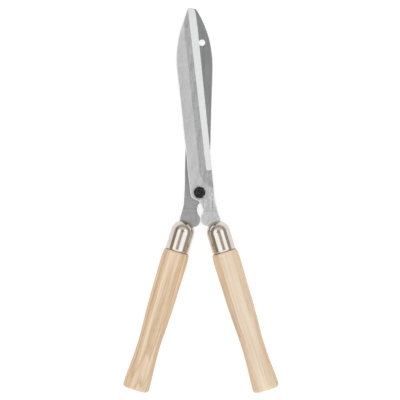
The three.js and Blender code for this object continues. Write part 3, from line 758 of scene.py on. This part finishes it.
def nut():
    corner = 6.5 / math.cos(math.pi / 6)
    z0, z1, z2 = NUT_Z, NUT_Z + NUT_HEX_H, NUT_Z + NUT_HEX_H + NUT_COLLAR_H
    sides, verts, faces, rows = 144, [], [], None
    for k in range(sides):
        a = 2 * math.pi * k / sides
        local = (math.degrees(a) % 60) - 30
        hexr = 6.5 / math.cos(math.radians(local))
        # corners are very slightly rounded
        hexr = min(hexr, corner - 0.07 * max(0, 1 - (30 - abs(local)) / 2.2) ** 2 * 1.5)
        lower = corner - 0.75
        zl = z0 + 0.55 * max(hexr - lower, 0) / 0.9
        zu = z1 - 0.85 * (hexr - 6.25) / (corner + 0.15 - 6.25)
        prof = [(4.22, z0 + 0.5), (4.68, z0), (min(hexr, lower) - 0.12, z0), (min(hexr, lower) - 0.02, z0 + 0.03),
            (hexr - 0.03, zl), (hexr, zl + 0.1), (hexr, (zl + zu) / 2), (hexr, zu - 0.1), (hexr - 0.05, zu),
            (6.25 + 0.08, z1 - 0.01), (6.2, z1 + 0.05), (5.97, z1 + 0.28), (5.9, z1 + 0.42), (5.9, z2 - 0.78)]
        for i in range(1, 8):
            b = math.radians(90 * i / 7)
            prof.append((5.9 - 0.7 * (1 - math.cos(b)), z2 - 0.72 + 0.72 * math.sin(b)))
        prof += [(5.12, z2 - 0.04), (5.0, z2 - 0.25), (4.98, z2 - 0.9), (4.98, z1 - 0.35), (4.3, z1 - 0.4), (4.22, z1 - 0.55)]
        rows = len(prof)
        t = a + NUT_TURN
        verts += [(r * math.cos(t), r * math.sin(t), z) for r, z in prof]
    for k in range(sides):
        l = (k + 1) % sides
        for i in range(rows):
            j = (i + 1) % rows
            faces.append((k * rows + i, l * rows + i, l * rows + j, k * rows + j))
    me = mesh_from("pivot_nut_fine", verts, faces, None, 26)
    return weighted(new_object("pivot_nut_fine", me, pivot_matrix(), [black_oxide("nut_black")]))


def insert_ring():
    z0 = NUT_Z + NUT_HEX_H - 0.1
    z1 = NUT_Z + NUT_HEX_H + NUT_COLLAR_H - 0.5
    prof = [(3.95, z0), (4.93, z0), (4.93, z1 - 0.3)]
    for i in range(1, 6):
        b = math.radians(90 * i / 5)
        prof.append((4.93 - 0.3 * (1 - math.cos(b)), z1 - 0.3 + 0.3 * math.sin(b)))
    prof += [(4.25, z1 + 0.02), (4.05, z1 - 0.1), (3.95, z1 - 0.35)]
    me = lathe_mesh("nut_insert_fine", prof, 96, True)
    return weighted(new_object("nut_insert_fine", me, pivot_matrix(), [nylon_look("insert_nylon")]))


def bolt():
    """Domed head, square neck, shank and a rolled thread that ends flush in the nut."""
    top = REAR_FACE - GAP
    head = [(0, top - 4.4)]
    for i in range(1, 15):
        a = (i / 14) * (math.pi / 2)
        head.append((8.5 * math.sin(a), top - 0.75 - 3.65 * math.cos(a)))
    head += [(8.68, top - 0.6), (8.78, top - 0.42), (8.8, top - 0.3), (8.74, top - 0.1), (8.6, top), (5.7, top)]
    sides, pitch = 96, 1.25
    verts, faces = [], []
    rings = []

    def ring(fn):
        rings.append(list(range(len(verts), len(verts) + sides)))
        for k in range(sides):
            a = 2 * math.pi * k / sides
            r, z = fn(a)
            verts.append((r * math.cos(a), r * math.sin(a), z))

    apex = len(verts)
    verts.append((0, 0, top - 4.4))
    for r, z in head[1:]:
        ring(lambda a, r=r, z=z: (r, z))

    def neck(a):  # rounded square
        c, s = abs(math.cos(a)), abs(math.sin(a))
        return min(4.0 / max(c, s), 5.35)

    for z in (top + 0.02, -INNER_Z - GAP - 0.15):
        ring(lambda a, z=z: (neck(a), z))
    ring(lambda a: (min(neck(a), 4.9) - 0.1, -INNER_Z - GAP))
    ring(lambda a: (3.98, -INNER_Z - GAP + 0.02))
    ring(lambda a: (3.98, NUT_Z - 0.6))
    start, end = NUT_Z - 0.3, BOLT_TOP
    steps = 76
    for i in range(steps + 1):
        z = start + (end - start) * i / steps

        def thread(a, z=z):
            phase = ((z - pitch * a / (2 * math.pi)) / pitch) % 1.0
            v = abs(phase * 2 - 1)
            r = 3.30 + 0.58 * min(max((v - 0.12) / 0.76, 0), 1)
            r = min(r, 3.88 - max(0, 0.5 - (z - start)) * 0.5)
            return min(r, 3.98 - max(0, z - (end - 0.95)) * 0.85), z

        ring(thread)
    ring(lambda a: (2.9, end + 0.02))
    ring(lambda a: (1.6, end + 0.05))
    last = len(verts)
    verts.append((0, 0, end + 0.06))
    for k in range(sides):
        l = (k + 1) % sides
        faces.append((apex, rings[0][l], rings[0][k]))
        for A, B in zip(rings, rings[1:]):
            faces.append((A[k], A[l], B[l], B[k]))
        faces.append((rings[-1][k], rings[-1][l], last))
    me = mesh_from("pivot_bolt_fine", verts, faces, None, 32)
    return weighted(new_object("pivot_bolt_fine", me, pivot_matrix(), [black_oxide("bolt_black", (0.011, 0.011, 0.0115), 0.5)]))


def spring_washer():
    """A split ring with a rectangular section, sprung open by its own pitch."""
    r0, r1, e = 4.35, 7.4, 0.16
    section = [(r0 + e, 0), (r1 - e, 0), (r1 - 0.05, 0.05), (r1, e), (r1, 1.4 - e), (r1 - 0.05, 1.35), (r1 - e, 1.4),
        (r0 + e, 1.4), (r0 + 0.05, 1.35), (r0, 1.4 - e), (r0, e), (r0 + 0.05, 0.05)]
    n, steps, cut = len(section), 110, 0.10
    verts, faces = [], []
    for i in range(steps + 1):
        q = i / steps
        a = math.radians(-40) + cut + (2 * math.pi - 2 * cut) * q
        lift = 0.40 * q
        for r, z in section:
            skew = 0.10 * (0.5 - abs(q - 0.5) * 0) * 0
            verts.append((r * math.cos(a + skew), r * math.sin(a + skew), WASHER_Z - 0.12 + z + lift))
    for i in range(steps):
        for k in range(n):
            l = (k + 1) % n
            faces.append((i * n + k, i * n + l, (i + 1) * n + l, (i + 1) * n + k))
    faces.append(list(reversed(range(n))))
    faces.append(list(range(steps * n, steps * n + n)))
    me = mesh_from("spring_washer_fine", verts, faces, None, 35)
    return weighted(new_object("spring_washer_fine", me, pivot_matrix(), [steel("washer_steel", (0.19, 0.19, 0.195), 0.38, 0, 0.08, 0.12)]))


pivot_nut, nut_insert, pivot_bolt, washer = nut(), insert_ring(), bolt(), spring_washer()


# -------------------------------------------------------------------- ferrules
def ferrule_profile():
    """(radius, height up the axis), round the outside and back down the inside."""
    R = FERRULE_R
    r = R - FERRULE_WALL
    pts = [(R - 1.95, RIM_Y + 0.28), (R - 1.9, RIM_Y + 0.12), (R - 1.75, RIM_Y + 0.02)]
    for i in range(13):
        a = math.radians(90 * i / 12)
        pts.append((R - RIM_IN + RIM_IN * math.sin(a), RIM_Y + RIM_H * (1 - math.cos(a))))
    for y in np.linspace(RIM_Y + RIM_H + 1.5, FERRULE_BODY - 1.0, 12):
        pts.append((R, float(y)))
    arcs = 30
    for i in range(arcs):
        a = (i / arcs) * math.pi / 2
        pts.append((R * math.cos(a), FERRULE_BODY + R * math.sin(a)))
    pts.append((0, FERRULE_BODY + R))
    pts.append((0, FERRULE_BODY + r))
    for i in range(arcs - 1, -1, -3):
        a = (i / arcs) * math.pi / 2
        pts.append((r * math.cos(a), FERRULE_BODY + r * math.sin(a)))
    pts += [(r, RIM_Y + RIM_H + 0.6), (r - 0.25, RIM_Y + 1.8), (R - 1.85, RIM_Y + 0.95), (R - 1.95, RIM_Y + 0.55)]
    return pts


def ferrule(name, half, material):
    profile = ferrule_profile()
    sides = 128
    me = lathe_mesh(name + "_shell", profile, sides, True, None)
    # the lathe's axis z becomes the local y
    me.transform(Matrix(((1, 0, 0, 0), (0, 0, 1, 0), (0, -1, 0, 0), (0, 0, 0, 1))))
    shell = new_object(name, me, Matrix.Identity(4), [])
    lo, hi = half["slot"]
    x0, x1 = sorted((half["side"] * (lo - 0.3), half["side"] * (hi + 0.3)))
    bm = bmesh.new()
    outline = []
    hz, c = PLATE_T / 2 + 0.3, 0.6
    for cx, cz, a0 in ((x1 - c, hz - c, 0), (x0 + c, hz - c, 90), (x0 + c, c - hz, 180), (x1 - c, c - hz, 270)):
        for k in range(5):
            a = math.radians(a0 + 90 * k / 4)
            outline.append((cx + c * math.cos(a), cz + c * math.sin(a)))
    y0, y1 = FERRULE_BODY + 6.2, FERRULE_BODY + 24
    A = [bm.verts.new((x * MM, y0 * MM, z * MM)) for x, z in outline]
    B = [bm.verts.new((x * MM, y1 * MM, z * MM)) for x, z in outline]
    n = len(outline)
    for k in range(n):
        bm.faces.new((A[k], A[(k + 1) % n], B[(k + 1) % n], B[k]))
    bm.faces.new(list(reversed(A)))
    bm.faces.new(B)
    bmesh.ops.recalc_face_normals(bm, faces=bm.faces)
    cutter_mesh = bpy.data.meshes.new(name + "_slot")
    bm.to_mesh(cutter_mesh)
    bm.free()
    cutter = bpy.data.objects.new(name + "_slot", cutter_mesh)
    bpy.context.scene.collection.objects.link(cutter)
    mod = shell.modifiers.new("slot", "BOOLEAN")
    mod.operation, mod.solver, mod.object = "DIFFERENCE", "EXACT", cutter
    bpy.context.view_layer.update()
    deps = bpy.context.evaluated_depsgraph_get()
    cut = bpy.data.meshes.new_from_object(shell.evaluated_get(deps))
    shell.modifiers.clear()
    bpy.data.objects.remove(cutter)
    bpy.data.objects.remove(shell)
    bm = bmesh.new()
    bm.from_mesh(cut)
    bmesh.ops.remove_doubles(bm, verts=bm.verts, dist=1e-6)
    bmesh.ops.dissolve_degenerate(bm, edges=bm.edges, dist=1e-6)
    bm.to_mesh(cut)
    bm.free()
    cut.polygons.foreach_set("use_smooth", [True] * len(cut.polygons))
    # exact surface normals, so that the polished shell reflects cleanly
    R, r = FERRULE_R * MM, (FERRULE_R - FERRULE_WALL) * MM
    Y = FERRULE_BODY * MM
    rim_y, rim_h, rim_in = RIM_Y * MM, RIM_H * MM, RIM_IN * MM
    normals = []
    for p in cut.polygons:
        fn = p.normal
        for li in p.loop_indices:
            co = cut.vertices[cut.loops[li].vertex_index].co
            rad = math.hypot(co.x, co.z)
            dir2 = Vector((co.x, 0, co.z)).normalized() if rad > 1e-7 else Vector((0, 0, 1))
            if co.y > Y:
                nrm = Vector((co.x, co.y - Y, co.z)).normalized()
            elif co.y < rim_y + rim_h and rad > R - rim_in * 1.02:
                c = min(max(1 - (co.y - rim_y) / rim_h, 0), 1)
                s = math.sqrt(max(1 - c * c, 0))
                nrm = (dir2 * (s / rim_in) + Vector((0, -1, 0)) * (c / rim_h)).normalized()
            else:
                nrm = dir2
            if fn.dot(nrm) < 0:
                nrm = -nrm
            normals.append(nrm if fn.dot(nrm) > 0.93 else fn.copy())
    cut.normals_split_custom_set([tuple(n) for n in normals])
    cut.materials.clear()
    return new_object(name, cut, axis_matrix(half), [material])


plate = nickel("bright_nickel")
rear_ferrule = ferrule("rear_ferrule_fine", REAR, plate)
front_ferrule = ferrule("front_ferrule_fine", FRONT, plate)

# --------------------------------------------------------------------- handles
PROFILE = [
    (-0.6, 15.5, 15.5, 0.45), (0.4, 15.95, 15.95, 0.12), (3, 16.3, 16.3, 0), (9.5, 16.9, 16.85, 0),
    (20, 16.85, 16.8, 0), (45, 16.55, 16.5, 0), (65, 16.4, 16.3, 0), (80, 15.9, 15.8, 0),
    (95, 15.3, 15.2, 0), (108, 14.7, 14.6, 0), (120, 14.35, 14.2, 0), (131, 14.6, 14.3, 0),
    (142, 15.0, 14.75, 0), (153, 15.75, 15.3, 0), (165, 16.65, 16.05, 0), (175.6, 17.2, 16.6, 0),
]
END = [(176.6, 17.18, 16.58, 0.06), (177.6, 17.0, 16.4, 0.24), (178.5, 16.62, 16.05, 0.6), (179.2, 16.1, 15.55, 1.1),
    (179.75, 15.4, 14.9, 1.8), (180.1, 14.7, 14.2, 2.5), (180.27, 13.9, 13.4, 3.3), (180.3, 12.6, 12.1, 4.6)]
FLAT_SHARE = 0.42


def handle(name, half, material):
    quarter = []
    for i in range(19):
        a = (i / 18) * math.pi / 2
        quarter.append((math.cos(a) ** 0.9 if i < 18 else 0.0, math.sin(a) ** 0.9 if i else 0.0))
    unit = [(FLAT_SHARE + (1 - FLAT_SHARE) * w, z) for w, z in quarter]
    for k in (0.75, 0.5, 0.25, 0.0):
        unit.append((FLAT_SHARE * k, 1.0))
    half_loop = unit + [(-u, z) for u, z in reversed(unit[:-1])]
    loop = half_loop + [(u, -z) for u, z in reversed(half_loop[1:-1])]
    rows = catmull([(s, a, b, c) for s, a, b, c in PROFILE], 5)
    shoulder = [(-0.9, 12.6, 12.6, 3.6), (-0.88, 14.2, 14.2, 1.7), (-0.82, 14.95, 14.95, 1.0), (-0.72, 15.3, 15.3, 0.66)]
    rows = [np.array(r) for r in shoulder] + rows + [np.array(r) for r in END]
    verts, faces, n = [], [], len(loop)
    for s, outer, inner, inset in rows:
        for u, t in loop:
            w = outer if u * half["side"] > 0 else inner
            verts.append((u * w, -s, t * (HANDLE_T / 2 - inset)))
    for i in range(len(rows) - 1):
        for k in range(n):
            l = (k + 1) % n
            faces.append((i * n + k, i * n + l, (i + 1) * n + l, (i + 1) * n + k))
    # the butt is closed by rings that shrink to its middle, very slightly crowned
    base = (len(rows) - 1) * n
    s_end, outer, inner, inset = rows[-1]
    prev = base
    for share, out in ((0.72, 0.03), (0.4, 0.06), (0.12, 0.07)):
        start = len(verts)
        for u, t in loop:
            w = (outer if u * half["side"] > 0 else inner) * share
            verts.append((u * w, -(s_end + out - 0.07), t * (HANDLE_T / 2 - inset) * share))
        for k in range(n):
            l = (k + 1) % n
            faces.append((prev + k, prev + l, start + l, start + k))
        prev = start
    verts.append((0, -(s_end), 0))
    mid = len(verts) - 1
    for k in range(n):
        faces.append((prev + k, prev + (k + 1) % n, mid))
    # turned spigot inside the ferrule
    prev = 0
    for y, rr in ((0.9, 12.65), (3.4, 12.7), (4.4, 13.5), (23.4, 13.5), (24.2, 13.1), (24.6, 12.3), (24.6, 6.0)):
        start = len(verts)
        for u, t in loop:
            ang = math.atan2(t, u)
            verts.append((rr * math.cos(ang), y, rr * math.sin(ang)))
        for k in range(n):
            l = (k + 1) % n
            faces.append((start + k, start + l, prev + l, prev + k))
        prev = start
    verts.append((0, 24.6, 0))
    mid = len(verts) - 1
    for k in range(n):
        faces.append((prev + (k + 1) % n, prev + k, mid))
    me = mesh_from(name, verts, faces, None, 50)
    return weighted(new_object(name, me, axis_matrix(half), [material]))


rear_handle = handle("rear_handle_fine", REAR,
    ash("rear_ash", (0.5, -35.0), (108, 0.0005), 1.7, 0.614, (0.925, 0.775, 0.590), (0.785, 0.580, 0.382), 3.0, 0.02, 1.05, 1.0, ((4.5, 10.5), (3.5, 9.5)), (("right", -50, -200, 0.06), ("right", -135, -200, 0.03))))
front_handle = handle("front_handle_fine", FRONT,
    ash("front_ash", (-3.0, -48.0), (150, 0.0004), 2.4, 0.10, (0.900, 0.782, 0.612), (0.765, 0.573, 0.388), 11.0, -0.015, 0.6, 0.65, ((6.5, 10.5), (7.0, 11.5)), (("left", -70, -140, 0.085), ("left", 40, -25, -0.08), ("right", -125, -200, -0.045))))

# ------------------------------------------------------- bodies, nodes and slots: each piece joins its body and hides its node; the slot column is not used
for obj, body, node, slot in (
    (rear_blade, "rear_half", "rear_blade", "blade_steel"),
    (pivot_bolt, "rear_half", "pivot_bolt", "black_steel"),
    (washer, "rear_half", "spring_washer", "spring_steel"),
    (pivot_nut, "rear_half", "pivot_nut", "black_steel"),
    (nut_insert, "rear_half", "nut_insert", "nylon"),
    (rear_ferrule, "rear_half", "rear_ferrule", "bright_plate"),
    (rear_handle, "rear_half", "rear_handle", "ash_wood"),
    (front_blade, "front_half", "front_blade", "blade_steel"),
    (front_ferrule, "front_half", "front_ferrule", "bright_plate"),
    (front_handle, "front_half", "front_handle", "ash_wood"),
):
    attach(obj, body)
    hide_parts(node)

# --------------------------------------------------------- floor, light, camera
scene = bpy.context.scene
scene.view_settings.view_transform = "Standard"
scene.view_settings.look = "None"

floor_mesh = bpy.data.meshes.new("floor")
floor_mesh.from_pydata([(-8, -8, 0), (8, -8, 0), (8, 8, 0), (-8, 8, 0)], [], [(0, 1, 2, 3)])
t = Tree("floor_white")
t.bsdf.inputs["Base Color"].default_value = (0.29, 0.29, 0.29, 1)
t.bsdf.inputs["Roughness"].default_value = 1.0
t.bsdf.inputs["Specular IOR Level"].default_value = 0.0
t.bsdf.inputs["Emission Color"].default_value = (1, 1, 1, 1)
t.bsdf.inputs["Emission Strength"].default_value = 0.81
floor = new_object("floor", floor_mesh, Matrix.Translation((0, 0, cad_lo.z - 0.0004)), [t.mat])

world = bpy.data.worlds.new("studio")
scene.world = world
world.use_nodes = True
wt = Tree.__new__(Tree)
wt.nt = world.node_tree
wt.nt.nodes.clear()
w_out = wt.nt.nodes.new("ShaderNodeOutputWorld")
w_bg = wt.nt.nodes.new("ShaderNodeBackground")
wt.link(w_bg.outputs[0], w_out.inputs[0])
wt.coord = wt.nt.nodes.new("ShaderNodeTexCoord").outputs["Generated"]
dx, dy, dz = wt.xyz()
ax = wt.math("ABSOLUTE", dx)
# two soft boxes side by side overhead with a gap between them, a dim room beyond
# them, and the white sweep at the horizon
boxes = wt.math("MULTIPLY", wt.remap(dz, 0.61, 0.68, 0.0, 1.0), wt.remap(dy, 0.41, 0.55, 1.0, 0.0))
boxes = wt.math("MULTIPLY", boxes, wt.remap(dy, -0.58, -0.36, 0.0, 1.0))
# the boxes stand a little apart towards +Y and close up towards -Y
spread = wt.math("MULTIPLY", wt.remap(dy, -0.065, 0.07, -0.135, 0.125, False), wt.remap(dy, 0.075, 0.14, 1.0, 0.0))
gap = wt.math("MULTIPLY", wt.remap(wt.math("SUBTRACT", ax, spread), 0.21, 0.295, 1.0, 0.0), wt.remap(dy, -0.16, -0.05, 0.0, 1.0))
gap = wt.math("MULTIPLY", gap, boxes)
room = wt.remap(dz, 0.085, 0.13, 0.0, 1.0)
room = wt.math("MULTIPLY", room, wt.remap(dy, -0.56, -0.42, 0.0, 1.0))
dark = wt.mix(wt.remap(dx, -0.5, 0.5, 0.0, 1.0), (0.30, 0.262, 0.228), (0.42, 0.382, 0.345))
dark = wt.mix(wt.math("MULTIPLY", wt.remap(dy, 0.35, 0.75, 0.0, 1.0), wt.remap(ax, 0.75, 0.35, 0.0, 1.0)), dark, (0.54, 0.49, 0.46))
dark = wt.mix(wt.remap(dz, 0.56, 0.70, 0.0, 1.0), dark, (0.87, 0.86, 0.865))
light = wt.mix(room, (1.02, 1.02, 1.02), dark)
light = wt.mix(boxes, light, (1.44, 1.43, 1.435))
light = wt.mix(gap, light, (0.37, 0.34, 0.335))
wt.link(light, w_bg.inputs["Color"])
w_bg.inputs["Strength"].default_value = 1.0

cam = bpy.data.cameras.new("camera")
cam.lens, cam.sensor_width = 135, 36
cam.clip_start, cam.clip_end = 0.05, 50
camera = bpy.data.objects.new("camera", cam)
scene.collection.objects.link(camera)
mid_z = PIVOT.z
camera.location = (PIVOT.x + 0.567 * MM, PIVOT.y - 9.324 * MM, mid_z + 504 * MM * 135 / 36)
scene.camera = camera
